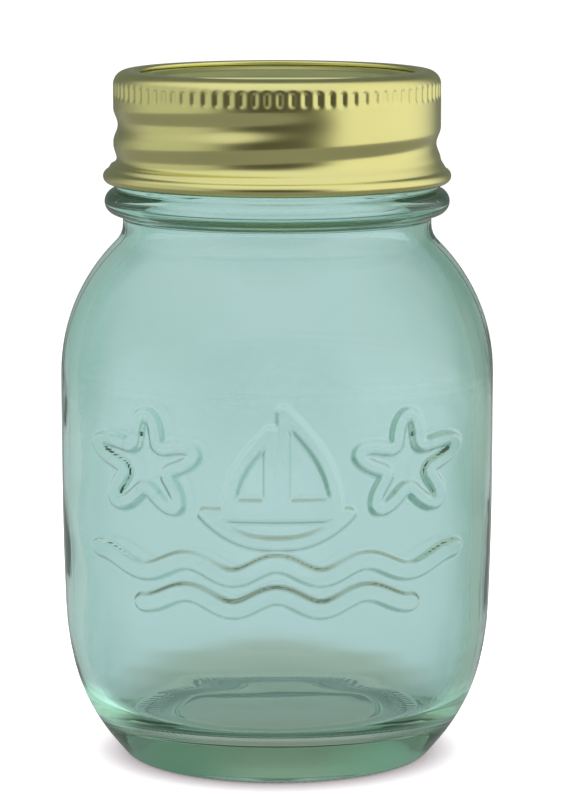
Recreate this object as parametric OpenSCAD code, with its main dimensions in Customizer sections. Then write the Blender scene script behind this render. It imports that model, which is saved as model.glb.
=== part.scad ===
// Coin bank jar: a moulded glass jar closed by a coin-slot disc and a gold screw band.
// Origin at the middle of the standing ring, on the table. +Z is up and the relief faces -Y.

/* [Glass jar] */
// Outside diameter of the glass at its widest
body_d = 76; // [74:0.5:80]
// Height of the glass, from the table to the rim
glass_h = 118.8; // [117:0.1:122]
// Thickness of the glass wall
wall = 3.2; // [2.6:0.1:3.8]
// Rise of the middle of the base above the table
push_up = 3.2; // [2:0.1:4]
// Outside diameter of the transfer bead under the closure
bead_d = 60.4; // [59:0.1:62]
// How far the relief on the front stands out
relief = 0.55; // [0.3:0.05:0.8]

/* [Thread] */
// Rise of the thread in one turn (4 turns per inch)
pitch = 6.35; // [6:0.05:6.6]
// Outside diameter of the glass at the root of the thread
finish_d = 52.8; // [52.4:0.1:53]
// Height of the glass thread above its root
thread_h = 1.4; // [1:0.1:1.4]

/* [Screw band] */
// Outside diameter of the band's skirt
band_d = 57.2; // [57.2:0.1:57.8]
// Height of the band, curled edge included
band_h = 19.6; // [19.2:0.1:19.8]
// Thickness of the tinplate
sheet = 0.4; // [0.3:0.05:0.45]
// Diameter of the round opening in the top of the band
opening_d = 48.4; // [46:0.2:49]
// Number of grip flutes
flutes = 83; // [60:1:90]

/* [Coin disc] */
// Diameter of the disc
disc_d = 53.4; // [53:0.1:53.6]
// Length of the coin slot
slot_l = 34; // [28:0.5:36]
// Width of the coin slot
slot_w = 4.8; // [3:0.1:6]
// Depth of the recessed middle of the disc
recess = 0.6; // [0.3:0.05:0.8]

/* [Hidden] */
$fn = 96;

body_r = body_d / 2;
finish_r = finish_d / 2;
band_r = band_d / 2;
disc_r = disc_d / 2;
clear = 0.05;          // gap between pieces that rest on each other

// Outline of the glass, from the table up
widest_z = 57;         // height of the widest point
barrel_r = 900;        // very slight barrel of the wall
barrel_a = 1.9;        // slope of the wall where the heel begins
heel_r = [53, 32.5];   // the two radii of the heel
heel_a = [13.7, 40.5]; // slope of the wall where each one ends
foot_r = 2.2;          // corner of the standing ring
shoulder_z = 67.7;     // where the shoulder leaves the straight wall
shoulder_r = 33;
shoulder_a = 45.5;     // slope where the shoulder meets the neck
neck_fillet = 3.9;
bead_r = 2.2;
bead_z = 98.2;
bead_fillet = 0.7;     // inner corner under the bead
collar_r = 28.3;       // plain collar between the bead and the band
collar_z = 101.2;
rim_fillet = 1.2;
ring_w = 1.4;          // width of the standing ring's flat
ring_edge = [1, 0.5];  // width and height of the ring's inner edge
step_r = 18.4;         // step in the underside of the base
step = [1, 0.8];       // width and height of the step
dome = 0.4;            // fall of the underside from its middle to the step
inner_heel_a = 22;     // slope at which the inner wall leaves the outer one to turn into the floor
inner_heel_r = 8;

// A stretch of circle: [x, z] points from angle a0 to a1
function arc(c, r, a0, a1, n) =
    [for (i = [0:n]) let (a = a0 + (a1 - a0) * i / n) [c[0] + r * cos(a), c[1] + r * sin(a)]];
function polar(r, a) = [r * cos(a), r * sin(a)];
// Centre of a circle of radius r that carries on smoothly from point p at slope a
function carry_on(p, r, a) = p - polar(r, a);

shoulder_c = [body_r - shoulder_r, shoulder_z];
neck_c = shoulder_c + polar(shoulder_r + neck_fillet, shoulder_a);
neck_r = neck_c[0] - neck_fillet;
mouth_r = neck_r - wall;
barrel_c = [body_r - barrel_r, widest_z];
barrel_end = barrel_c + polar(barrel_r, -barrel_a);
heel_c1 = carry_on(barrel_end, heel_r[0], -barrel_a);
heel_mid = heel_c1 + polar(heel_r[0], -heel_a[0]);
heel_c2 = carry_on(heel_mid, heel_r[1], -heel_a[0]);
heel_end = heel_c2 + polar(heel_r[1], -heel_a[1]);
foot_end_z = foot_r * (1 - sin(heel_a[1]));
foot_c = [heel_end[0] - (heel_end[1] - foot_end_z) * tan(heel_a[1]) - foot_r * cos(heel_a[1]), foot_r];
inner_heel = heel_c2 + polar(heel_r[1] - wall, -inner_heel_a);
inner_c = carry_on(inner_heel, inner_heel_r, -inner_heel_a);

outside = concat(
    arc(foot_c, foot_r, -90, -heel_a[1], 4),
    arc(heel_c2, heel_r[1], -heel_a[1], -heel_a[0], 5),
    arc(heel_c1, heel_r[0], -heel_a[0], -barrel_a, 4),
    arc(barrel_c, barrel_r, -barrel_a / 2, 0, 1),
    arc(shoulder_c, shoulder_r, 0, shoulder_a, 10),
    arc(neck_c, neck_fillet, 180 + shoulder_a, 180, 4),
    arc([neck_r + bead_fillet, bead_z - bead_r - bead_fillet], bead_fillet, 180, 100, 3),
    arc([bead_d / 2 - bead_r, bead_z], bead_r, -75, 70, 8),
    [[collar_r, bead_z + bead_r], [collar_r, collar_z], [finish_r, collar_z + 1.8]],
    arc([finish_r - rim_fillet, glass_h - rim_fillet], rim_fillet, 0, 90, 4));

inside = concat(
    arc([mouth_r + rim_fillet, glass_h - rim_fillet], rim_fillet, 90, 180, 4),
    arc(neck_c, neck_fillet + wall, 180, 180 + shoulder_a, 5),
    arc(shoulder_c, shoulder_r - wall, shoulder_a, 0, 10),
    arc(barrel_c, barrel_r - wall, 0, -barrel_a, 2),
    arc(heel_c1, heel_r[0] - wall, -barrel_a, -heel_a[0], 3),
    arc(heel_c2, heel_r[1] - wall, -heel_a[0], -inner_heel_a, 2),
    arc(inner_c, inner_heel_r, -inner_heel_a, -90, 9),
    [[0, inner_c[1] - inner_heel_r]]);

underside = [
    [0, push_up], [step_r - step[0], push_up - dome], [step_r, push_up - dome - step[1]],
    [foot_c[0] - ring_w - ring_edge[0], ring_edge[1]], [foot_c[0] - ring_w, 0]];

// Thread: both helices rise anticlockwise, and angle 0 is at +X
band_thread = [215, 655];    // where the band's rolled thread begins and ends
glass_thread = [180, 640];   // where the glass thread begins and ends
band_thread_z = 102.025;     // height of the band's thread, carried back to angle 0
thread_lift = 1.9;           // how far the glass thread lies above the band's
thread_fade = 45;            // stretch over which a thread's end dies away
thread_end = 0.1;            // share of its depth that a thread keeps at its very end
thread_step = 10;
thread_w = [2.8, 1];         // width of the glass thread at its root and at its crest
sink = 0.5;                  // how far the thread's bar reaches into the wall it stands on
end_sink = 0.4;              // the same at the thread's ends
groove_w = 4;                // the band's rolled groove: width at the skirt, width of its floor, depth
groove_floor = 1.4;
groove_h = 0.85;
groove_over = 0.3;           // how far the groove's cutter stands out of the skirt

// Relief, placed on the front seen as a flat drawing: x across, z up
relief_w = 2.2;        // width of a stroke
relief_sink = 0.7;     // how far the strokes reach into the wall
star_r = 8.6;
star_x = 22;
star_z = 56.5;
star_waist = 0.46;     // share of star_r at which two arms meet
star_taper = 1.5;      // how slim the arms are
boat_z = 50.5;         // foot of the sails
main_sail = [9, 16];
fore_sail = [7, 12.5];
sail_belly = 0.22;     // how far a sail's edge bows out, as a share of its width
mast_gap = 1.1;        // from the middle to each sail
hull = [24, 4.8];
hull_drop = 1.6;       // from the sails down to the hull
hull_round = 2.5;      // how full the hull's ends are
wave_w = 3;            // width of a wave's line
wave_z = [39.5, 34];
wave_x = [30, 22.5];   // half-lengths of the two lines
wave_l = 15;           // from crest to crest
wave_h = 1.3;
wave_steps = 12;       // points from crest to crest
wave_tip = 0.3;        // width of a line's tip, as a share of its width

// Closure, measured down from its top
lid_top = glass_h + 2.2;
shoulder_fillet = 2.4;
curl_r = 1.2;
curl_a = [75, -235];    // angles at which the curl begins and ends
curl_c = [band_r + 0.65, lid_top - band_h + curl_r];
flare_z = curl_c[1] + curl_r + 1.6;   // where the skirt begins to flare out to the curl
flare_mid = [0.15, 0.5];              // a point on the flare, out from the skirt and up from the curl
hem_w = 1.6;
flute_z = [lid_top - 5, lid_top - 2.2];
flute_h = 0.3;
flute_swell = 0.2;      // how far the flutes push the inner wall in
flute_ease = 0.6;       // height over which the inner wall eases out again
disc_top = lid_top - 2 * sheet - clear;
panel_r = mouth_r - 1.6;              // edge of the recessed panel
slot_corner = 1;
lip_h = 1.2;            // depth of the turned-down lip round the slot
seal_z = [glass_h + clear, disc_top - sheet];
seal_r = [mouth_r - 0.2, disc_r - 0.5];
over = 1;               // how far a cutter runs past the faces it cuts

// A bar carried up a helix. Its section is a list of [radius, height] points, anticlockwise with the
// radius to the right, and it is drawn in towards fade_r near the two ends of the span.
function strength(a, span) = max(0, min(1, (a - span[0]) / thread_fade, (span[1] - a) / thread_fade));
module helix(span, z0, fade_r, section) {
    steps = round((span[1] - span[0]) / thread_step);
    n = len(section);
    points = [for (i = [0:steps]) let (a = span[0] + (span[1] - span[0]) * i / steps)
        for (p = section) let (r = fade_r + (p[0] - fade_r) * max(thread_end, strength(a, span)))
            [r * cos(a), r * sin(a), z0 + pitch * a / 360 + p[1]]];
    sides = [for (i = [0:steps - 1]) for (j = [0:n - 1]) let (k = (j + 1) % n)
        each [[i * n + j, i * n + k, (i + 1) * n + k], [i * n + j, (i + 1) * n + k, (i + 1) * n + j]]];
    ends = [[for (j = [n - 1:-1:0]) j], [for (j = [0:n - 1]) steps * n + j]];
    polyhedron(points, concat(sides, ends));
}

module glass_thread_ridge() {
    base = finish_r - sink;
    crest = finish_r + thread_h;
    helix(glass_thread, band_thread_z + thread_lift, finish_r - end_sink, [
        [base, -thread_w[0] / 2], [crest, -thread_w[1] / 2],
        [crest, thread_w[1] / 2], [base, thread_w[0] / 2]]);
}

// The band's rolled thread, pressed in from a wall at radius r and standing out of it by proud
module rolled_thread(r, proud) {
    helix(band_thread, band_thread_z, r + proud,
        [[r + proud, groove_w / 2], [r - groove_h, groove_floor / 2],
         [r - groove_h, -groove_floor / 2], [r + proud, -groove_w / 2]]);
}

// Relief on the front: a small boat between two starfish, over two lines of waves
function star(r, n = 40) = [for (i = [0:n - 1]) let (a = 360 * i / n)
    polar(r * (star_waist + (1 - star_waist) * pow((1 + cos(5 * a)) / 2, star_taper)), a + 90)];
// A triangular sail with one bowed edge, its upright edge on x = 0
function sail(size, n = 6) = concat([[0, 0]],
    [for (i = [0:n]) let (t = i / n) [size[0] * (1 - t + sail_belly * sin(180 * t)), size[1] * t]]);
function boat_hull(n = 8) = [for (i = [0:n]) let (a = 180 + 180 * i / n)
    [hull[0] / 2 * cos(a), -hull[1] * (1 - pow(abs(cos(a)), hull_round))]];

module outline(width) {
    difference() {
        offset(r = width / 2, $fn = 16) children();
        offset(r = -width / 2, $fn = 16) children();
    }
}
// A wavy line at height z, reaching from -half to half, slimmer at its two tips
module wave_line(z, half) {
    n = round(2 * half / wave_l * wave_steps);
    edge = [for (i = [0:n]) let (x = half * (2 * i / n - 1), width = min(1, wave_tip + 4 * min(i, n - i) / n))
        [x, z + wave_h * cos(360 * x / wave_l), wave_w / 2 * width]];
    polygon(concat([for (p = edge) [p[0], p[1] + p[2]]],
        [for (i = [n:-1:0]) [edge[i][0], edge[i][1] - edge[i][2]]]));
}
module relief_2d() {
    for (side = [-1, 1])
        translate([side * star_x, star_z]) outline(relief_w) polygon(star(star_r));
    translate([mast_gap, boat_z]) outline(relief_w) polygon(sail(main_sail));
    translate([-mast_gap, boat_z]) mirror([1, 0]) outline(relief_w) polygon(sail(fore_sail));
    translate([0, boat_z - hull_drop]) outline(relief_w) polygon(boat_hull());
    for (i = [0, 1]) wave_line(wave_z[i], wave_x[i]);
}

module glass_jar() {
    color([0.66, 0.81, 0.78]) {
        rotate_extrude() polygon(concat(underside, outside, inside));
        glass_thread_ridge();
        intersection() {
            rotate([90, 0, 0]) linear_extrude(body_d) relief_2d();
            difference() {
                cylinder(r = body_r + relief, h = glass_h);
                translate([0, 0, -over]) cylinder(r = body_r - relief_sink, h = glass_h + 2 * over);
            }
        }
    }
}

module sealing_ring() {
    color([0.93, 0.92, 0.88]) translate([0, 0, seal_z[0]])
        difference() {
            cylinder(r = seal_r[1], h = seal_z[1] - seal_z[0]);
            translate([0, 0, -over]) cylinder(r = seal_r[0], h = seal_z[1] - seal_z[0] + 2 * over);
        }
}

module rounded_slot(l, w, corner) {
    square([l - 2 * corner, w], center = true);
    square([l, w - 2 * corner], center = true);
    for (x = [-1, 1], y = [-1, 1])
        translate([x * (l / 2 - corner), y * (w / 2 - corner)]) circle(corner);
}

module slot_disc() {
    floor_z = disc_top - recess;
    under_r = panel_r - sheet / 2;
    color([0.80, 0.78, 0.50]) difference() {
        union() {
            rotate_extrude() polygon([
                [0, floor_z], [panel_r - recess, floor_z], [panel_r, disc_top],
                [disc_r, disc_top], [disc_r, disc_top - sheet], [under_r, disc_top - sheet],
                [under_r - recess, floor_z - sheet], [0, floor_z - sheet]]);
            translate([0, 0, floor_z - lip_h]) linear_extrude(lip_h)
                rounded_slot(slot_l + 2 * sheet, slot_w + 2 * sheet, slot_corner + sheet);
        }
        translate([0, 0, floor_z - lip_h - over]) linear_extrude(lip_h + 2 * over)
            rounded_slot(slot_l, slot_w, slot_corner);
    }
}

// Cross-section of the band, from the hem round the outside to the curl and back up the inside
module band_section() {
    inner_r = band_r - sheet;
    polygon(concat(
        [[opening_d / 2 + hem_w, lid_top - 2 * sheet]],
        arc([opening_d / 2 + sheet, lid_top - sheet], sheet, 270, 90, 4),
        arc([band_r - shoulder_fillet, lid_top - shoulder_fillet], shoulder_fillet, 90, 0, 6),
        [[band_r, flare_z], [band_r + flare_mid[0], curl_c[1] + curl_r + flare_mid[1]]],
        arc(curl_c, curl_r, curl_a[0], curl_a[1], 16),
        arc(curl_c, curl_r - sheet, curl_a[1], curl_a[0] + 25, 12),
        [[inner_r, flare_z], [inner_r, flute_z[0] - flute_ease], [inner_r - flute_swell, flute_z[0]],
         [inner_r - flute_swell, lid_top - shoulder_fillet]],
        arc([band_r - shoulder_fillet, lid_top - shoulder_fillet], shoulder_fillet - sheet, 20, 90, 4),
        [[opening_d / 2 + hem_w, lid_top - sheet]]));
}

module flute_cutter() {
    translate([0, 0, flute_z[0]]) linear_extrude(flute_z[1] - flute_z[0]) difference() {
        circle(band_r + over);
        polygon([for (i = [0:2 * flutes - 1])
            polar(i % 2 == 0 ? band_r + clear : band_r - flute_h, 180 * i / flutes)]);
    }
}

module screw_band() {
    color([0.82, 0.79, 0.48]) difference() {
        union() {
            rotate_extrude() band_section();
            rolled_thread(band_r - sheet, sheet / 2);
        }
        rolled_thread(band_r, groove_over);
        flute_cutter();
    }
}

glass_jar();
sealing_ring();
slot_disc();
screw_band();
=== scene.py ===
import math

import bpy
import numpy as np
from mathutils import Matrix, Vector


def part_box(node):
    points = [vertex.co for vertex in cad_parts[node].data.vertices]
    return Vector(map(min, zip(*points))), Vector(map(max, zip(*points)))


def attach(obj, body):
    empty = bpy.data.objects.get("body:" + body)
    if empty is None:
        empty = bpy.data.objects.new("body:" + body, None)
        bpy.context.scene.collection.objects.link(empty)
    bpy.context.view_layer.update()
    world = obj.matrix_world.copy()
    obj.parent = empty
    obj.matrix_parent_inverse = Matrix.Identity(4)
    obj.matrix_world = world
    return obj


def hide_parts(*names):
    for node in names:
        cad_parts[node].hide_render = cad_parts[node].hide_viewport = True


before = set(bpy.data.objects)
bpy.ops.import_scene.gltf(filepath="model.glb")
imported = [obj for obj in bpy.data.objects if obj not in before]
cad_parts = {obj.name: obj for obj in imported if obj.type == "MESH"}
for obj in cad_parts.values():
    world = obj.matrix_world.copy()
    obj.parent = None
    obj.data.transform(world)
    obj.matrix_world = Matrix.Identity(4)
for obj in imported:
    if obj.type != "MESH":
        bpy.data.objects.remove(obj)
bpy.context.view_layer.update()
MM = 0.001

# ---------------------------------------------------------------- dimensions, in millimetres
GLASS_LO, GLASS_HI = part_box("glass_jar")
BAND_LO, BAND_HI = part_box("screw_band")
DISC_LO, DISC_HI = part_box("slot_disc")
SEAL_LO, SEAL_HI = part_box("sealing_ring")

BODY_R = GLASS_HI.x / MM            # outside radius of the glass at its widest
RIM_Z = GLASS_HI.z / MM
WALL = 3.2
PUSH_UP = 3.2
WIDEST_Z = 57
BARREL_R, BARREL_A = 900, 1.9
HEEL_R, HEEL_A = (53, 32.5), (13.7, 40.5)
FOOT_R = 2.2
RING_W = 1.4                        # flat of the standing ring
STEP_R, STEP_W, STEP_H = 18.4, 1.6, 1.2   # step in the underside
DOME_DROP = 0.4                     # fall of the underside from its middle to the step
INNER_HEEL_A, INNER_HEEL_R = 22, 8  # where the inner wall leaves the outer one to become the floor
SHOULDER_R, SHOULDER_Z, SHOULDER_A = 33, 67.7, 45.5
NECK_FILLET = 3.9
BEAD_OUT, BEAD_R, BEAD_Z = 30.2, 2.2, 98.2
COLLAR_R, COLLAR_Z = 28.3, 101.2
FINISH_R = 26.4
STIPPLE_W = 5.6                     # frosted ring of the underside, outside the step
KNURLS, KNURL_H = 120, 0.16         # fine ribs across the standing ring
KNURL_R = (21, 27)
SEAM_H, SEAM_W = 0.07, 0.22         # mould seam up the sides of the body
NECK_SEAM_A, NECK_SEAM_R, NECK_SEAM_H, NECK_SEAM_W = 86.5, 28, 0.10, 0.25   # and the one across the bead
WAVES_IN, WAVES_OUT = 0.22, 0.03    # slow unevenness of the pressed wall, inside and outside

PITCH = 6.35
THREAD_Z = 102.025                  # band's thread carried back to angle 0
GLASS_THREAD = (180, 640, 1.9, 1.4)  # start, end, lift above the band's thread, height
BAND_THREAD = (150, 655, 0.0, 0.76)
THREAD_FADE = 45
GLASS_RIDGE, BAND_ROLL = (1.5, 0.45), (2.9, 0.1)   # half width of each thread, and of its crest

BAND_R = 28.6
BAND_TOP = BAND_HI.z / MM
BAND_BOTTOM = BAND_LO.z / MM
SHEET = 0.4
CURL_R = 1.2
OPENING_R = 24.2
HEM_W = 1.6
SHOULDER_FILLET = 2.4
FLUTES, FLUTE_D = 83, 0.26
FLUTE_DROP, FLUTE_H = 3.25, 1.75    # middle of the flutes below the band's top, and half their height

DISC_R = DISC_HI.x / MM
DISC_TOP = DISC_HI.z / MM
RECESS = 0.6
SLOT_L, SLOT_W, SLOT_CORNER = 34, 4.8, 1.0
LIP, LIP_R = 1.2, 0.55              # how far the slot's edge turns down, and round
LIP_END = 0.12                      # rounding of the lip's lower edge
PANEL_STEP = 1.6                    # from the mouth in to the edge of the recess


# ---------------------------------------------------------------- drawing sections
def polar(r, a):
    return np.array([r * math.cos(math.radians(a)), r * math.sin(math.radians(a))])


def arc(c, r, a0, a1, step=3.0):
    """Points on a circle of radius r about c, from angle a0 to a1, about step degrees apart."""
    n = max(2, int(abs(a1 - a0) / step) + 1)
    return [np.array(c) + polar(r, a) for a in np.linspace(a0, a1, n)]


def rounded(points):
    """A polyline whose corners are rounded: each point is (r, z) or (r, z, corner radius)."""
    out = []
    for i, p in enumerate(points):
        here = np.array(p[:2], float)
        if len(p) < 3 or i in (0, len(points) - 1):
            out.append(here)
            continue
        before, after = np.array(points[i - 1][:2], float), np.array(points[i + 1][:2], float)
        u, v = before - here, after - here
        u, v = u / np.linalg.norm(u), v / np.linalg.norm(v)
        half = math.acos(max(-1, min(1, float(u @ v)))) / 2
        reach = p[2] / math.tan(half)
        centre = here + (u + v) / np.linalg.norm(u + v) * p[2] / math.sin(half)
        first, last = here + u * reach - centre, here + v * reach - centre
        a0, a1 = math.atan2(first[1], first[0]), math.atan2(last[1], last[0])
        turn = (a1 - a0 + math.pi) % (2 * math.pi) - math.pi
        out += arc(centre, p[2], math.degrees(a0), math.degrees(a0 + turn), 12)
    return out


def resample(points, spacing):
    """Points along the same line at a spacing in mm that may depend on (r, z)."""
    line = np.array(points, float)
    step = np.linalg.norm(np.diff(line, axis=0), axis=1)
    keep = np.concatenate([[True], step > 1e-6])
    line = line[keep]
    along = np.concatenate([[0], np.cumsum(np.linalg.norm(np.diff(line, axis=0), axis=1))])
    fine = np.linspace(0, along[-1], max(40, int(along[-1] / 0.02)))
    r, z = np.interp(fine, along, line[:, 0]), np.interp(fine, along, line[:, 1])
    want = np.concatenate([[0], np.cumsum(np.diff(fine) / spacing(r, z)[1:])])
    n = max(2, int(round(want[-1])))
    at = np.interp(np.linspace(0, want[-1], n + 1), want, fine)
    return np.stack([np.interp(at, along, line[:, 0]), np.interp(at, along, line[:, 1])], axis=1)


# ---------------------------------------------------------------- making meshes
def make_mesh(name, verts_mm, faces):
    mesh = bpy.data.meshes.new(name)
    mesh.from_pydata((np.asarray(verts_mm) * MM).tolist(), [], faces)
    mesh.validate()
    mesh.shade_smooth()
    piece = bpy.data.objects.new(name, mesh)
    bpy.context.scene.collection.objects.link(piece)
    return piece


def ring_faces(rows, turns, closed):
    """Quads of a grid whose columns go all the way round, and whose rows do too when closed."""
    i = np.arange(rows if closed else rows - 1)[:, None]
    j = np.arange(turns)[None, :]
    ni, nj = (i + 1) % rows, (j + 1) % turns
    quads = np.stack([i * turns + j, i * turns + nj, ni * turns + nj, ni * turns + j], axis=2)
    return quads.reshape(-1, 4).tolist()


def lathe(name, section, turns, shape=None, closed=False):
    """Turns a section, [r, z] rows, about Z. shape(a, r, z) gives a finished r and z. A section
    that isn't closed starts and ends on the axis."""
    body = section if closed else section[1:-1]
    a = np.radians(np.arange(turns) * 360 / turns)[None, :]
    r = np.repeat(body[:, :1], turns, axis=1)
    z = np.repeat(body[:, 1:], turns, axis=1)
    if shape:
        r, z = shape(np.broadcast_to(np.degrees(a), r.shape), r, z)
    verts = np.stack([r * np.cos(a), r * np.sin(a), z], axis=2).reshape(-1, 3)
    faces = ring_faces(len(body), turns, closed)
    if not closed:
        low, high = len(verts), len(verts) + 1
        verts = np.vstack([verts, [[0, 0, section[0, 1]], [0, 0, section[-1, 1]]]])
        last = (len(body) - 1) * turns
        for j in range(turns):
            k = (j + 1) % turns
            faces.append([low, k, j])
            faces.append([high, last + j, last + k])
    return make_mesh(name, verts, faces)


def smooth_step(x):
    x = np.clip(x, 0, 1)
    return x * x * (3 - 2 * x)


def helix_rise(a, z, thread, half_width, crest):
    """Height of a thread at each (angle, z): 1 on its crest, easing to 0 past half_width."""
    start, end, lift, _ = thread
    best = np.zeros_like(z)
    for turn in range(-1, 3):
        b = a + 360 * turn
        off = np.abs(z - (THREAD_Z + lift + PITCH * b / 360))
        fade = smooth_step(np.minimum((b - start) / THREAD_FADE, (end - b) / THREAD_FADE))
        rise = 1 - smooth_step((off - crest) / (half_width - crest))
        best = np.maximum(best, rise * fade)
    return best


# ---------------------------------------------------------------- relief on the front
def star_path(cx, cz, r, n=120):
    a = np.radians(np.arange(n) * 360 / n)
    reach = r * (0.46 + 0.54 * ((1 + np.cos(5 * a)) / 2) ** 1.5)
    return np.stack([cx + reach * np.cos(a + math.pi / 2), cz + reach * np.sin(a + math.pi / 2)], axis=1)


def sail_path(x, z, w, h, side, n=24):
    t = np.linspace(0, 1, n)
    edge = np.stack([x + side * (w * (1 - t) + w * 0.22 * np.sin(math.pi * t)), z + h * t], axis=1)
    return np.vstack([[[x, z]], edge])


def hull_path(z, w, h, n=32):
    a = np.radians(np.linspace(180, 360, n))
    return np.stack([w / 2 * np.cos(a), z - h * (1 - np.abs(np.cos(a)) ** 2.5)], axis=1)


def wave_path(z, half, height, length, n=80):
    x = np.linspace(-half, half, n)
    return np.stack([x, z + height * np.cos(2 * math.pi * x / length)], axis=1)


RELIEF_W, WAVE_W = 2.2, 3.0
RELIEF_EDGE = 0.48                  # width of the sloping side of a stroke
STAR_X, STAR_Z, STAR_R = 22, 56.5, 8.6
BOAT_Z = 50.5
WAVES = ((39.5, 30), (34, 22.5))
RELIEF_H = 0.62


def closed_line(points):
    return np.vstack([points, points[:1]])


def relief_strokes():
    """(path, width) of every stroke of the relief."""
    shapes = [star_path(side * STAR_X, STAR_Z, STAR_R) for side in (-1, 1)]
    shapes += [sail_path(1.1, BOAT_Z, 9, 16, 1), sail_path(-1.1, BOAT_Z, 7, 12.5, -1)]
    shapes.append(hull_path(BOAT_Z - 1.6, 24, 4.8))
    strokes = [(closed_line(shape), RELIEF_W) for shape in shapes]
    return strokes + [(wave_path(z, half, 1.3, 15), WAVE_W) for z, half in WAVES]


def distance_to(line, x, z):
    """Distance from each point (x, z) to a polyline."""
    best = np.full(x.shape, 1e9)
    for p, q in zip(line[:-1], line[1:]):
        d = q - p
        t = np.clip(((x - p[0]) * d[0] + (z - p[1]) * d[1]) / max(1e-9, float(d @ d)), 0, 1)
        best = np.minimum(best, np.hypot(x - p[0] - t * d[0], z - p[1] - t * d[1]))
    return best


def relief_height(a, r, z):
    """How far the glass stands out at each point of the front."""
    height = np.zeros_like(r)
    x, y = r * np.cos(np.radians(a)), r * np.sin(np.radians(a))
    near = (y < 0) & (np.abs(x) < 34) & (z > 30) & (z < 70) & (r > 35.5)
    if near.any():
        rise = np.zeros(int(near.sum()))
        for line, width in relief_strokes():
            side = (distance_to(line, x[near], z[near]) - width / 2) / RELIEF_EDGE
            rise = np.maximum(rise, 1 - smooth_step(side + 0.5))
        height[near] = RELIEF_H * rise
    return height


# ---------------------------------------------------------------- the glass jar
def jar_section():
    shoulder_c = np.array([BODY_R - SHOULDER_R, SHOULDER_Z])
    neck_c = shoulder_c + polar(SHOULDER_R + NECK_FILLET, SHOULDER_A)
    neck_r = neck_c[0] - NECK_FILLET
    mouth_r = neck_r - WALL
    barrel_c = np.array([BODY_R - BARREL_R, WIDEST_Z])
    barrel_end = barrel_c + polar(BARREL_R, -BARREL_A)
    heel_1 = barrel_end - polar(HEEL_R[0], -BARREL_A)
    heel_2 = heel_1 + polar(HEEL_R[0] - HEEL_R[1], -HEEL_A[0])
    heel_end = heel_2 + polar(HEEL_R[1], -HEEL_A[1])
    foot_end_z = FOOT_R * (1 - math.sin(math.radians(HEEL_A[1])))
    foot_x = heel_end[0] - (heel_end[1] - foot_end_z) * math.tan(math.radians(HEEL_A[1]))
    foot_c = (foot_x - FOOT_R * math.cos(math.radians(HEEL_A[1])), FOOT_R)
    inner_c = heel_2 + polar(HEEL_R[1] - WALL - INNER_HEEL_R, -INNER_HEEL_A)
    floor_z = inner_c[1] - INNER_HEEL_R

    dome_r = STEP_R - STEP_W
    across = np.linspace(0, dome_r, 12)[:-1]
    underside = [np.array([r, PUSH_UP - DOME_DROP * (r / dome_r) ** 2]) for r in across]
    underside += rounded([
        (dome_r, PUSH_UP - DOME_DROP), (STEP_R - STEP_W / 2, PUSH_UP - DOME_DROP - 0.05, 0.5),
        (STEP_R, PUSH_UP - STEP_H, 0.9),
        (foot_c[0] - RING_W - 1, 0.5, 0.8), (foot_c[0] - RING_W, 0, 0.4), (foot_c[0], 0)])
    lower = arc(foot_c, FOOT_R, -90, -HEEL_A[1]) + arc(heel_2, HEEL_R[1], -HEEL_A[1], -HEEL_A[0])
    lower += arc(heel_1, HEEL_R[0], -HEEL_A[0], -BARREL_A) + arc(barrel_c, BARREL_R, -BARREL_A, 0, 0.2)
    upper = arc(shoulder_c, SHOULDER_R, 0, SHOULDER_A) + arc(neck_c, NECK_FILLET, 180 + SHOULDER_A, 180)
    bead = arc((BEAD_OUT - BEAD_R, BEAD_Z), BEAD_R, -78, 68, 6)
    neck = rounded([tuple(upper[-1]), (neck_r, BEAD_Z - BEAD_R - 0.1, 1.0), tuple(bead[0])])
    finish = rounded([
        tuple(bead[-1]), (COLLAR_R, BEAD_Z + BEAD_R + 0.15, 0.5), (COLLAR_R, COLLAR_Z, 0.5),
        (FINISH_R, COLLAR_Z + 1.6, 0.8), (FINISH_R, RIM_Z, 1.2), (mouth_r, RIM_Z, 1.2),
        (mouth_r, neck_c[1])])
    inside = arc(neck_c, NECK_FILLET + WALL, 180, 180 + SHOULDER_A)
    inside += arc(shoulder_c, SHOULDER_R - WALL, SHOULDER_A, 0)
    inside += arc(barrel_c, BARREL_R - WALL, 0, -BARREL_A, 0.2)
    inside += arc(heel_1, HEEL_R[0] - WALL, -BARREL_A, -HEEL_A[0])
    inside += arc(heel_2, HEEL_R[1] - WALL, -HEEL_A[0], -INNER_HEEL_A)
    inside += arc(inner_c, INNER_HEEL_R, -INNER_HEEL_A, -90)
    line = underside + lower + upper + neck + bead + finish + inside + [np.array([0, floor_z])]

    def spacing(r, z):
        step = np.full(r.shape, 0.9)
        outer = r > BODY_R - 2
        step = np.where(outer & (z > 30) & (z < 70), 0.36, step)
        step = np.where((r > 26) & (z > 95), 0.3, step)
        step = np.where((z < 3.4) & (r > 15), 0.3, step)
        return step

    return resample(line, spacing), mouth_r


JAR_SECTION, MOUTH_R = jar_section()


# pressed glass is slightly wavy: (waves round the jar, radians per mm up it, phase, share)
RIPPLES = (
    (2, 0.11, 0.4, 1.0), (3, 0.19, 2.1, 0.8), (5, 0.07, 1.2, 0.6), (7, 0.27, 4.0, 0.4), (0, 0.33, 0.7, 0.5))


def pressed_waves(a, z, amount):
    """The slow ripple of pressed glass, as high as amount where all its waves meet."""
    total = np.zeros_like(z)
    for around, up, phase, share in RIPPLES:
        total += share * np.sin(around * np.radians(a) + up * z + phase)
    return amount * total / sum(share for *_, share in RIPPLES)


def mould_seam(a, at, radius, width):
    """1 on the lines up the glass at the angle at and opposite it, easing to 0 past width mm to each side."""
    off = (a - at + 90) % 180 - 90
    return np.exp(-(np.radians(off) * radius / width) ** 2)


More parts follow.
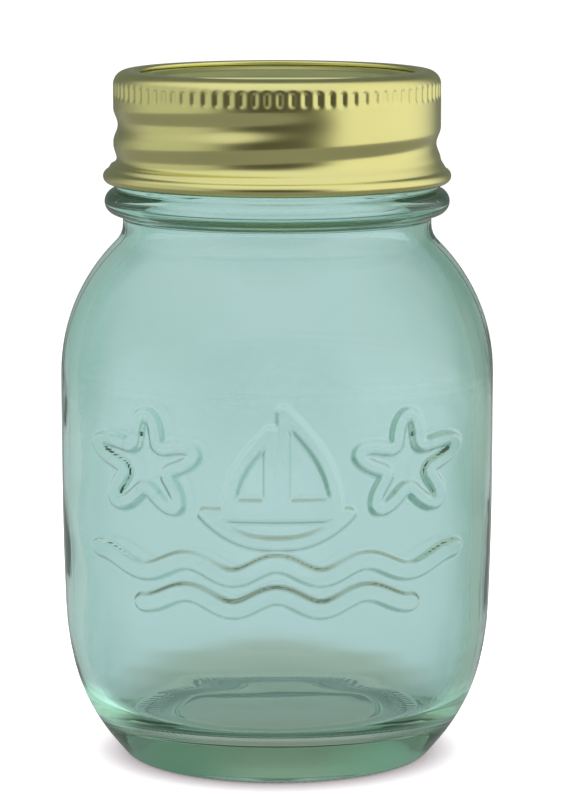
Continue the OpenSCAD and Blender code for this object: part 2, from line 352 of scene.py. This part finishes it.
def shape_glass(a, r, z):
    """Thread, relief, mould seams, ribbed standing ring and the slight unevenness of pressed glass."""
    inner = np.zeros(r.shape, bool)
    inner[int(np.argmax(JAR_SECTION[1:-1, 1])):] = True
    wavy = pressed_waves(a, z, WAVES_IN) * smooth_step((z - 9) / 10) * smooth_step((96 - z) / 8)
    r = r + np.where(inner, wavy, 0)
    r = r + np.where(~inner & (z > 12) & (z < 90), pressed_waves(a + 70, z, WAVES_OUT), 0)
    ridge = GLASS_THREAD[3] * helix_rise(a, z, GLASS_THREAD, *GLASS_RIDGE)
    r = r + np.where(~inner & (z > COLLAR_Z + 1), ridge, 0)
    r = r + np.where(inner, 0, relief_height(a, r, z))
    seam = SEAM_H * mould_seam(a, 0, BODY_R, SEAM_W)
    r = r + np.where(~inner & (z > 4) & (z < 96), seam, 0)
    seam = NECK_SEAM_H * mould_seam(a, NECK_SEAM_A, NECK_SEAM_R, NECK_SEAM_W)
    r = r + np.where(~inner & (z > 96.5) & (z < COLLAR_Z + 1), seam, 0)
    knurl = KNURL_H * (0.5 + 0.5 * np.cos(np.radians(a) * KNURLS))
    knurl *= smooth_step((r - KNURL_R[0]) / 1.5) * smooth_step((KNURL_R[1] - r) / 1.5)
    z = z + np.where(~inner & (z < 1.2), knurl, 0)
    return r, z


def glass_jar():
    piece = lathe("jar_glass", JAR_SECTION, 660, shape_glass)
    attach(piece, "jar")
    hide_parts("glass_jar")
    piece.data.materials.append(glass_material())
    return piece


# ---------------------------------------------------------------- the screw band
def band_section():
    """The closed cross-section of the tinplate: outside from the hem to the curl, then back up inside."""
    curl_c = (BAND_R + 0.65, BAND_BOTTOM + CURL_R)
    flare_z = curl_c[1] + CURL_R + 1.6
    c = (BAND_R - SHOULDER_FILLET, BAND_TOP - SHOULDER_FILLET)
    inner_r = BAND_R - SHEET
    hem = arc((OPENING_R + SHEET, BAND_TOP - SHEET), SHEET, 270, 90, 15)
    top = arc(c, SHOULDER_FILLET, 90, 0, 4)
    curl = arc(curl_c, CURL_R, 72, -235, 8)
    curl_in = arc(curl_c, CURL_R - SHEET, -235, 92, 12)
    outside = rounded([tuple(hem[-1]), (OPENING_R + 1.2, BAND_TOP), tuple(top[0])])
    outside += top + rounded([tuple(top[-1]), (BAND_R, flare_z, 1.2), tuple(curl[0])]) + curl
    inside = rounded([tuple(curl_in[-1]), (inner_r, flare_z + 0.2, 0.8), (inner_r, c[1])])
    inside += arc(c, SHOULDER_FILLET - SHEET, 0, 90, 6)
    inside += [np.array([OPENING_R + HEM_W, BAND_TOP - down * SHEET]) for down in (1, 2)]
    line = hem + outside + curl_in + inside
    line.append(hem[0])

    def spacing(r, z):
        return np.where((z > BAND_BOTTOM + 2.4) & (z < BAND_TOP - 0.2) & (r > BAND_R - 1.6), 0.26, 0.24)

    return resample(line, spacing)[:-1]


def shape_band(a, r, z):
    """Rolled thread and grip flutes: both faces of the sheet move together."""
    skirt = (r > BAND_R - 0.8) & (r < BAND_R + 0.5)
    rolled = BAND_THREAD[3] * helix_rise(a, z, BAND_THREAD, *BAND_ROLL)
    rolled *= smooth_step((z - (BAND_BOTTOM + 2.2)) / 1.6)
    r = r - np.where(skirt, rolled, 0)
    across = ((a * FLUTES / 360) % 1 - 0.5) / 0.44
    up = (z - (BAND_TOP - FLUTE_DROP)) / FLUTE_H
    dimple = FLUTE_D / 2 * (1 + np.cos(math.pi * np.clip(across, -1, 1)))
    dimple *= smooth_step((1 - np.abs(up)) / 0.6)
    inside = (r < BAND_R - 0.2) & (z < BAND_TOP - SHOULDER_FILLET)
    r = r - np.where(r > BAND_R - SHOULDER_FILLET, dimple * np.where(inside, 0.6, 1.0), 0)
    return r, z


def screw_band():
    piece = lathe("band_tinplate", band_section(), FLUTES * 8, shape_band, closed=True)
    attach(piece, "band")
    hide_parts("screw_band")
    piece.data.materials.append(gold_material("band_gold", *BAND_GOLD))
    return piece


# ---------------------------------------------------------------- the slotted disc
def fan_angle(outline):
    """The direction in which each point of a slot's outline goes out to the disc's circles."""
    return np.arctan2(outline[:, 1] / (SLOT_W * 1.6), outline[:, 0] / (SLOT_L * 0.8))


def slot_outline(grow, n):
    """n points round the coin slot, grown outwards; columns line up with those of a circle."""
    corner = SLOT_CORNER + grow
    hx, hy = SLOT_L / 2 + grow - corner, SLOT_W / 2 + grow - corner
    path = []
    for cx, cy, a0 in ((hx, hy, 0), (-hx, hy, 90), (-hx, -hy, 180), (hx, -hy, 270)):
        path += [np.array([cx, cy]) + polar(corner, a) for a in np.linspace(a0, a0 + 90, 13)]
    path.append(path[0])
    path = np.array(path)
    step = np.linalg.norm(np.diff(path, axis=0), axis=1)
    along = np.concatenate([[0], np.cumsum(step)])
    # share the columns between arc length and direction, so that they fan out evenly to the circle
    turn = np.unwrap(fan_angle(path))
    mixed = 0.5 * along / along[-1] + 0.5 * (turn - turn[0]) / (2 * math.pi)
    at = np.interp(np.arange(n) / n, mixed, along)
    return np.stack([np.interp(at, along, path[:, 0]), np.interp(at, along, path[:, 1])], axis=1)


def slot_disc_mesh(n=480):
    """A closed surface: from the slot's lip out over the top, round the edge and back underneath."""
    panel_r = MOUTH_R - PANEL_STEP
    top, low = DISC_TOP, DISC_TOP - RECESS
    rows = []

    def blend_row(grow, z, share=0.0, radius=0.0):
        """A row at height z, this share of the way from the slot grown by grow out to a circle."""
        slot = slot_outline(grow, n)
        a = fan_angle(slot)
        circle = radius * np.column_stack([np.cos(a), np.sin(a)])
        rows.append(np.column_stack([slot * (1 - share) + circle * share, np.full(n, z)]))

    for z in np.linspace(low - LIP + LIP_END, low - LIP_R, 4):
        blend_row(0, z)
    for a in np.linspace(15, 90, 6):
        out, up = LIP_R * (np.array([1, 0]) - polar(1, a) * (1, -1))
        blend_row(out, low - LIP_R + up)
    for share in np.linspace(0.06, 1, 12):
        blend_row(LIP_R, low, share, panel_r - 1.4)
    for r, z in rounded([(panel_r - 1.3, low), (panel_r - 0.75, low, 0.5), (panel_r, top, 0.5),
                         (DISC_R, top, 0.18), (DISC_R, top - SHEET, 0.18), (panel_r - 0.25, top - SHEET, 0.3),
                         (panel_r - 1.0, low - SHEET, 0.3), (panel_r - 1.5, low - SHEET)]):
        blend_row(0, z, 1, r)
    for share in np.linspace(1, 0.06, 12):
        blend_row(SHEET + 0.3, low - SHEET, share, panel_r - 1.6)
    for grow, down in ((SHEET + 0.2, SHEET + 0.05), (SHEET, SHEET + 0.25), (SHEET, LIP - LIP_END)):
        blend_row(grow, low - down)
    for a in np.linspace(30, 150, 4):
        blend_row(SHEET / 2 + polar(SHEET / 2, a)[0], low - LIP + LIP_END - polar(LIP_END, a)[1])
    return make_mesh("disc_tinplate", np.vstack(rows), ring_faces(len(rows), n, True))


def slot_disc():
    piece = slot_disc_mesh()
    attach(piece, "disc")
    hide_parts("slot_disc")
    piece.data.materials.append(gold_material("disc_gold", *DISC_GOLD))
    return piece


def sealing_ring():
    lo, hi = SEAL_LO.z / MM, SEAL_HI.z / MM
    out_r, in_r = SEAL_HI.x / MM, MOUTH_R - 0.2
    mid = (out_r + in_r) / 2
    section = rounded([
        (in_r, hi), (in_r, lo + 0.25, 0.3), (in_r + 0.5, lo, 0.4), (mid - 0.5, lo, 0.2),
        (mid, lo + 0.08, 0.5), (mid + 0.5, lo, 0.2), (out_r - 0.5, lo, 0.4), (out_r, lo + 0.25, 0.3),
        (out_r, hi), (in_r, hi)])
    rows = resample(section, lambda r, z: np.full(r.shape, 0.2))[:-1]
    piece = lathe("seal_compound", rows[::-1], 240, closed=True)
    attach(piece, "disc")
    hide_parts("sealing_ring")
    piece.data.materials.append(seal_material())
    return piece


# ---------------------------------------------------------------- materials
# the second colour darkens the glass on the stippled ring of the underside: painted shade
GLASS_TINT, STIPPLE_PAINTED_SHADE = (0.692, 0.828, 0.832), (0.46, 0.58, 0.54)
GLASS_IOR = 1.5
FROST = 0.35                        # roughness of the stipple
DEPTH_TINT, DEPTH_DENSITY = (0.60, 0.74, 0.58), 40.0   # what the glass takes up along the light's way
PAINTED_GLOW_COLOUR, PAINTED_GLASS_GLOW = (0.45, 0.85, 0.66), 0.015    # painted glow: emission that stands in for light scattered inside the glass
PAINTED_HEEL_GLOW = ((-1, 0.42), (1, 0.17))  # painted glow, more at the heel's two sides, standing in for the light that thick glass gathers
HEEL_LOW, HEEL_HIGH = (7, 9), (14, 12)   # heights between which that sets in and ends
HEEL_OUTWARD, HEEL_SLOPE = (22.5, 24.5), -0.75   # radius + HEEL_SLOPE * z, large on the outside only
HEEL_FRONT, HEEL_SIDE = (2, -4), (23, 30)        # y, and x to either side
BAND_GOLD, DISC_GOLD = ((0.78, 0.755, 0.32), 0.24), ((0.68, 0.70, 0.31), 0.34)   # colour, roughness
UNEVEN_COLOUR, UNEVEN_ROUGHNESS = (0.93, 1.06), 0.06   # of the lacquer's coat
SEAL_COLOUR = (0.80, 0.78, 0.72)


def new_material(name):
    material = bpy.data.materials.new(name)
    material.use_nodes = True
    tree = material.node_tree
    return material, tree, tree.nodes["Principled BSDF"]


def add(tree, kind, **values):
    """Adds a node; values set its sockets, or its properties where it has no such socket."""
    node = tree.nodes.new(kind)
    for key, value in values.items():
        socket = node.inputs.get(key.replace("_", " "))
        if socket is None:
            setattr(node, key, value)
        else:
            socket.default_value = value
    return node


def blend(tree, share, first, second):
    """A colour between two others, each one a socket or three numbers."""
    mix = add(tree, "ShaderNodeMix", data_type="RGBA")
    tree.links.new(share, mix.inputs[0])
    for socket, value in ((mix.inputs[6], first), (mix.inputs[7], second)):
        if isinstance(value, bpy.types.NodeSocket):
            tree.links.new(value, socket)
        else:
            socket.default_value = (*value, 1)
    return mix.outputs[2]


def calc(tree, operation, *values):
    """One step of arithmetic on sockets or plain numbers."""
    node = add(tree, "ShaderNodeMath", operation=operation)
    for socket, value in zip(node.inputs, values):
        if isinstance(value, bpy.types.NodeSocket):
            tree.links.new(value, socket)
        else:
            socket.default_value = value
    return node.outputs[0]


def eased(tree, value, low, high):
    """0 up to low and 1 from high on, with a smooth step between."""
    ease = add(tree, "ShaderNodeMapRange", interpolation_type="SMOOTHSTEP")
    ease.inputs["From Min"].default_value = low
    ease.inputs["From Max"].default_value = high
    tree.links.new(value, ease.inputs["Value"])
    return ease.outputs["Result"]


def bump_from(tree, shader, height, strength, distance):
    bump = add(tree, "ShaderNodeBump", Strength=strength, Distance=distance)
    tree.links.new(height, bump.inputs["Height"])
    tree.links.new(bump.outputs["Normal"], shader.inputs["Normal"])


def radius_and_split(tree, position):
    """Distance from the jar's axis, and the node that splits a position."""
    flat = add(tree, "ShaderNodeVectorMath", operation="MULTIPLY")
    flat.inputs[1].default_value = (1, 1, 0)
    tree.links.new(position, flat.inputs[0])
    radius = add(tree, "ShaderNodeVectorMath", operation="LENGTH")
    tree.links.new(flat.outputs["Vector"], radius.inputs[0])
    split = add(tree, "ShaderNodeSeparateXYZ")
    tree.links.new(position, split.inputs[0])
    return radius.outputs["Value"], split


def zone(tree, *limits):
    """1 where every (value, low, high), in mm, is past high, easing to 0 at low."""
    share = 1.0
    for value, low, high in limits:
        share = calc(tree, "MULTIPLY", share, eased(tree, value, low * MM, high * MM))
    return share


def stippled_ring(tree, position):
    """1 on the stippled band of the underside, between the step and the standing ring."""
    radius, split = radius_and_split(tree, position)
    end = STEP_R + STIPPLE_W
    return zone(tree, (radius, STEP_R, STEP_R + 0.8), (radius, end, end - 0.8),
                (split.outputs["Z"], PUSH_UP, PUSH_UP - 0.6))


def painted_glow_strength(tree, position):
    """Painted glow of the glass: an emission even all over, and stronger on the outside of the heel at both
    sides.
    """
    radius, split = radius_and_split(tree, position)
    x, y, z = (split.outputs[axis] for axis in "XYZ")
    outward = calc(tree, "MULTIPLY_ADD", z, HEEL_SLOPE, radius)
    heel = zone(tree, (z, *HEEL_LOW), (z, *HEEL_HIGH), (outward, *HEEL_OUTWARD), (y, *HEEL_FRONT))
    glow = PAINTED_GLASS_GLOW
    for side, strength in PAINTED_HEEL_GLOW:
        share = calc(tree, "MULTIPLY", heel, zone(tree, (x, side * HEEL_SIDE[0], side * HEEL_SIDE[1])))
        glow = calc(tree, "MULTIPLY_ADD", share, strength, glow)
    return glow


def glass_material():
    material, tree, shader = new_material("aqua_pressed_glass")
    shader.inputs["IOR"].default_value = GLASS_IOR
    shader.inputs["Transmission Weight"].default_value = 1.0
    shader.inputs["Emission Color"].default_value = (*PAINTED_GLOW_COLOUR, 1)
    place = add(tree, "ShaderNodeTexCoord")
    noise = add(tree, "ShaderNodeTexNoise", Scale=55.0, Detail=2.0, Roughness=0.4)
    tree.links.new(place.outputs["Object"], noise.inputs["Vector"])
    ring = stippled_ring(tree, place.outputs["Object"])
    # the stippled ring's darker colour is painted shade
    tree.links.new(blend(tree, ring, GLASS_TINT, STIPPLE_PAINTED_SHADE), shader.inputs["Base Color"])
    # the glass's emission is a painted glow, strongest at the heel's sides
    tree.links.new(painted_glow_strength(tree, place.outputs["Object"]), shader.inputs["Emission Strength"])
    grain = add(tree, "ShaderNodeTexNoise", Scale=1400.0, Detail=1.0)
    tree.links.new(place.outputs["Object"], grain.inputs["Vector"])
    dots = calc(tree, "MULTIPLY", ring, grain.outputs["Fac"])
    bump_from(tree, shader, calc(tree, "MULTIPLY_ADD", dots, 0.5, noise.outputs["Fac"]), 0.25, 0.6 * MM)
    tree.links.new(calc(tree, "MULTIPLY", ring, FROST), shader.inputs["Roughness"])
    absorb = add(tree, "ShaderNodeVolumeAbsorption", Density=DEPTH_DENSITY)
    absorb.inputs["Color"].default_value = (*DEPTH_TINT, 1)
    tree.links.new(absorb.outputs["Volume"], tree.nodes["Material Output"].inputs["Volume"])
    return material


def gold_material(name, colour, roughness):
    """Gold lacquer over rolled tinplate: fine drawn lines round the axis and a slightly uneven coat."""
    material, tree, shader = new_material(name)
    shader.inputs["Metallic"].default_value = 1.0
    shader.inputs["Coat Weight"].default_value = 0.25
    shader.inputs["Coat Roughness"].default_value = 0.12
    place = add(tree, "ShaderNodeTexCoord")
    cloud = add(tree, "ShaderNodeTexNoise", Scale=90.0, Detail=3.0, Roughness=0.5)
    tree.links.new(place.outputs["Object"], cloud.inputs["Vector"])
    dull, bright = ([c * share for c in colour] for share in UNEVEN_COLOUR)
    tree.links.new(blend(tree, cloud.outputs["Fac"], dull, bright), shader.inputs["Base Color"])
    gloss = add(tree, "ShaderNodeMapRange")
    gloss.inputs["To Min"].default_value = roughness - UNEVEN_ROUGHNESS
    gloss.inputs["To Max"].default_value = roughness + UNEVEN_ROUGHNESS
    tree.links.new(cloud.outputs["Fac"], gloss.inputs["Value"])
    tree.links.new(gloss.outputs["Result"], shader.inputs["Roughness"])
    stretch = add(tree, "ShaderNodeMapping")
    stretch.inputs["Scale"].default_value = (60, 60, 4000)
    tree.links.new(place.outputs["Object"], stretch.inputs["Vector"])
    lines = add(tree, "ShaderNodeTexNoise", Scale=1.0, Detail=2.0, Roughness=0.6)
    tree.links.new(stretch.outputs["Vector"], lines.inputs["Vector"])
    bump_from(tree, shader, lines.outputs["Fac"], 0.08, 0.05 * MM)
    return material


def seal_material():
    material, tree, shader = new_material("seal_cream")
    shader.inputs["Base Color"].default_value = (*SEAL_COLOUR, 1)
    shader.inputs["Roughness"].default_value = 0.6
    place = add(tree, "ShaderNodeTexCoord")
    noise = add(tree, "ShaderNodeTexNoise", Scale=600.0, Detail=3.0)
    tree.links.new(place.outputs["Object"], noise.inputs["Vector"])
    bump_from(tree, shader, noise.outputs["Fac"], 0.2, 0.1 * MM)
    return material


# ---------------------------------------------------------------- studio
FLOOR_R = 0.6
FLOOR_PAINTED_SHADOW_RADII = (0.024, 0.038)        # radii between which the floor comes out of a painted shadow round the jar
# seen through glass a painted shadow: an oval that reaches back, as in light from the front
OVAL_Y, OVAL_HALF_X, OVAL_HALF_Y = 0.030, 0.036, 0.078
OVAL_EASE = (0.50, 1.05)            # shares of the oval between which it ends
# glow of the floor in its painted shadow round the jar and in the open, and its tone: as seen, through glass,
# mirrored; the darker looks through glass and mirrored are painted shade
FLOOR_GLOW_AND_PAINTED_SHADOW, FLOOR_TONE = ((0.12, 0.05, 0.08), (0.70, 0.70, 0.70)), (0.94, 0.90, 0.92)
PAINTED_SHADE_GLOW_THROUGH, PAINTED_SHADE_TONE_THROUGH = ((0.36, 0.31, 0.24), (0.58, 0.57, 0.60)), (0.34, 0.34, 0.34)
PAINTED_SHADE_GLOW_SIDES = ((0.30, 0.43, 0.41), (0.10, 0.22, 0.15))   # painted shade through glass, out to the left and right
SIDES, SIDES_BACK = (0.18, 0.42), 0.1     # |x| over (|y| + SIDES_BACK) between which the floor takes those
# the floor in reflections: a darker, painted copy
PAINTED_SHADE_GLOW_MIRRORED, PAINTED_SHADE_TONE_MIRRORED = (0.10, 0.10, 0.10), (0.16, 0.16, 0.16)


def ray_kinds(tree):
    """Shares of the light path that come through glass, and that a surface mirrors."""
    path = add(tree, "ShaderNodeLightPath")
    mirrored = add(tree, "ShaderNodeMath", operation="SUBTRACT", use_clamp=True)
    tree.links.new(path.outputs["Is Glossy Ray"], mirrored.inputs[0])
    tree.links.new(path.outputs["Is Transmission Ray"], mirrored.inputs[1])
    return path.outputs["Is Transmission Ray"], mirrored.outputs[0]


def floor(n=96):
    """A round pale floor that fades out, with a glow that keeps it white round a painted shadow at the jar's
    foot; through glass and in reflections it takes darker, painted looks.
    """
    mesh = bpy.data.meshes.new("floor")
    verts = [(*polar(FLOOR_R, 360 * i / n), 0) for i in range(n)]
    mesh.from_pydata(verts, [], [list(range(n))])
    plate = bpy.data.objects.new("floor", mesh)
    bpy.context.scene.collection.objects.link(plate)
    material, tree, shader = new_material("white_sweep")
    shader.inputs["Roughness"].default_value = 0.9
    shader.inputs["Specular IOR Level"].default_value = 0.1
    shader.inputs["Emission Strength"].default_value = 1.0
    place = add(tree, "ShaderNodeTexCoord")
    length = add(tree, "ShaderNodeVectorMath", operation="LENGTH")
    tree.links.new(place.outputs["Object"], length.inputs[0])
    is_through, is_mirrored = ray_kinds(tree)
    # painted shadow: less glow close round the jar
    glow = blend(tree, eased(tree, length.outputs["Value"], *FLOOR_PAINTED_SHADOW_RADII), *FLOOR_GLOW_AND_PAINTED_SHADOW)
    # painted shadow seen through glass: an oval of less glow reaching back behind the jar
    oval = add(tree, "ShaderNodeMapping", vector_type="TEXTURE")
    oval.inputs["Location"].default_value = (0, OVAL_Y, 0)
    oval.inputs["Scale"].default_value = (OVAL_HALF_X, OVAL_HALF_Y, 1)
    tree.links.new(place.outputs["Object"], oval.inputs["Vector"])
    reach = add(tree, "ShaderNodeVectorMath", operation="LENGTH")
    tree.links.new(oval.outputs["Vector"], reach.inputs[0])
    through = blend(tree, eased(tree, reach.outputs["Value"], *OVAL_EASE), *PAINTED_SHADE_GLOW_THROUGH)
    split = add(tree, "ShaderNodeSeparateXYZ")
    tree.links.new(place.outputs["Object"], split.inputs[0])
    back = calc(tree, "ADD", calc(tree, "ABSOLUTE", split.outputs["Y"]), SIDES_BACK)
    angle = calc(tree, "DIVIDE", split.outputs["X"], back)
    # painted shade through glass at the floor's left and right
    for side, colour in zip((-1, 1), PAINTED_SHADE_GLOW_SIDES):
        through = blend(tree, eased(tree, angle, side * SIDES[0], side * SIDES[1]), through, colour)
    glow = blend(tree, is_through, glow, through)
    # painted shade: reflections see a darker floor
    glow = blend(tree, is_mirrored, glow, PAINTED_SHADE_GLOW_MIRRORED)
    tree.links.new(glow, shader.inputs["Emission Color"])
    # through glass the floor's tone is a darker, painted copy
    tone = blend(tree, is_through, FLOOR_TONE, PAINTED_SHADE_TONE_THROUGH)
    tree.links.new(blend(tree, is_mirrored, tone, PAINTED_SHADE_TONE_MIRRORED), shader.inputs["Base Color"])
    fade = eased(tree, length.outputs["Value"], FLOOR_R * 0.98, FLOOR_R * 0.45)
    tree.links.new(fade, shader.inputs["Alpha"])
    mesh.materials.append(material)


def soft_patch(tree, direction, centre, inner, outer):
    """1 within inner degrees of the direction centre, easing to 0 at outer degrees."""
    axis = np.array(centre, float) / np.linalg.norm(centre)
    dot = add(tree, "ShaderNodeVectorMath", operation="DOT_PRODUCT")
    dot.inputs[1].default_value = tuple(axis)
    tree.links.new(direction, dot.inputs[0])
    return eased(tree, dot.outputs["Value"], math.cos(math.radians(outer)), math.cos(math.radians(inner)))


# brightness against the height of the direction, then patches: (direction, inner and outer angle, colour)
MIRRORED_HEIGHTS = ((-1, 0.35), (-0.45, 0.32), (-0.25, 0.34), (0.25, 0.36), (0.5, 0.80), (1, 0.95))
MIRRORED_PATCHES = (
    ((0.0, 0.88, 0.47), 34, 60, (0.15, 0.17, 0.15)),
    ((0.98, -0.20, 0.0), 26, 74, (1.00, 0.98, 0.90)),
    ((-0.98, -0.15, 0.0), 15, 50, (0.58, 0.59, 0.55)),
    ((0.02, -1.0, -0.10), 12, 48, (0.06, 0.06, 0.05)))
THROUGH_HEIGHTS = ((-1, 0.8), (-0.3, 0.86), (0.02, 0.90), (0.22, 0.55), (0.4, 0.38), (1, 0.6))
THROUGH_PATCHES = (
    ((0.64, 0.77, 0.0), 14, 38, (0.27, 0.42, 0.36)),
    ((-0.64, 0.77, 0.0), 12, 36, (0.48, 0.66, 0.61)),
    ((0.0, -1.0, 0.0), 30, 70, (0.50, 0.50, 0.50)))
SEEN_WHITE = (1.1, 1.1, 1.1)


def studio_world():
    """White all round, as a light tent gives. What shiny surfaces mirror, and what is seen through the
    glass, is a studio: a bright ceiling, soft boxes at both sides, and a darker room at eye level."""
    world = bpy.data.worlds.new("studio")
    bpy.context.scene.world = world
    world.use_nodes = True
    tree = world.node_tree
    tree.nodes.clear()
    place = add(tree, "ShaderNodeTexCoord")
    direction = place.outputs["Generated"]
    split = add(tree, "ShaderNodeSeparateXYZ")
    tree.links.new(direction, split.inputs[0])
    height = add(tree, "ShaderNodeMapRange")
    height.inputs["From Min"].default_value = -1.0
    tree.links.new(split.outputs["Z"], height.inputs["Value"])

    def by_height(stops):
        ramp = add(tree, "ShaderNodeValToRGB")
        tree.links.new(height.outputs["Result"], ramp.inputs["Fac"])
        elements = ramp.color_ramp.elements
        for element, (_, level) in zip((elements[0], elements[1]), (stops[0], stops[-1])):
            element.color = (level, level, level, 1)
        for up, level in stops[1:-1]:
            elements.new((up + 1) / 2).color = (level, level, level, 1)
        return ramp.outputs["Color"]

    def with_patches(colour, patches):
        for centre, inner, outer, level in patches:
            colour = blend(tree, soft_patch(tree, direction, centre, inner, outer), colour, level)
        return colour

    mirrored = with_patches(by_height(MIRRORED_HEIGHTS), MIRRORED_PATCHES)
    through = with_patches(by_height(THROUGH_HEIGHTS), THROUGH_PATCHES)
    is_through, is_mirrored = ray_kinds(tree)
    colour = blend(tree, is_mirrored, SEEN_WHITE, mirrored)
    colour = blend(tree, is_through, colour, through)
    background = add(tree, "ShaderNodeBackground", Strength=1.0)
    tree.links.new(colour, background.inputs["Color"])
    out = add(tree, "ShaderNodeOutputWorld")
    tree.links.new(background.outputs[0], out.inputs["Surface"])


CAMERA_AT, CAMERA_DOWN = (0.0012, -0.6804, 0.1663), 8.65   # place in metres, degrees below level
LENS, SENSOR_W = 175.5, 36


def camera():
    """The jar seen from the front and a little above, through a long lens."""
    data = bpy.data.cameras.new("camera")
    data.sensor_width = SENSOR_W
    data.lens = LENS
    data.clip_start, data.clip_end = 0.05, 20
    cam = bpy.data.objects.new("camera", data)
    cam.location = CAMERA_AT
    cam.rotation_euler = (math.radians(90 - CAMERA_DOWN), 0, 0)
    bpy.context.scene.collection.objects.link(cam)
    bpy.context.scene.camera = cam


camera()
studio_world()
floor()
glass_jar()
screw_band()
slot_disc()
sealing_ring()
bpy.context.scene.view_settings.view_transform = "Standard"
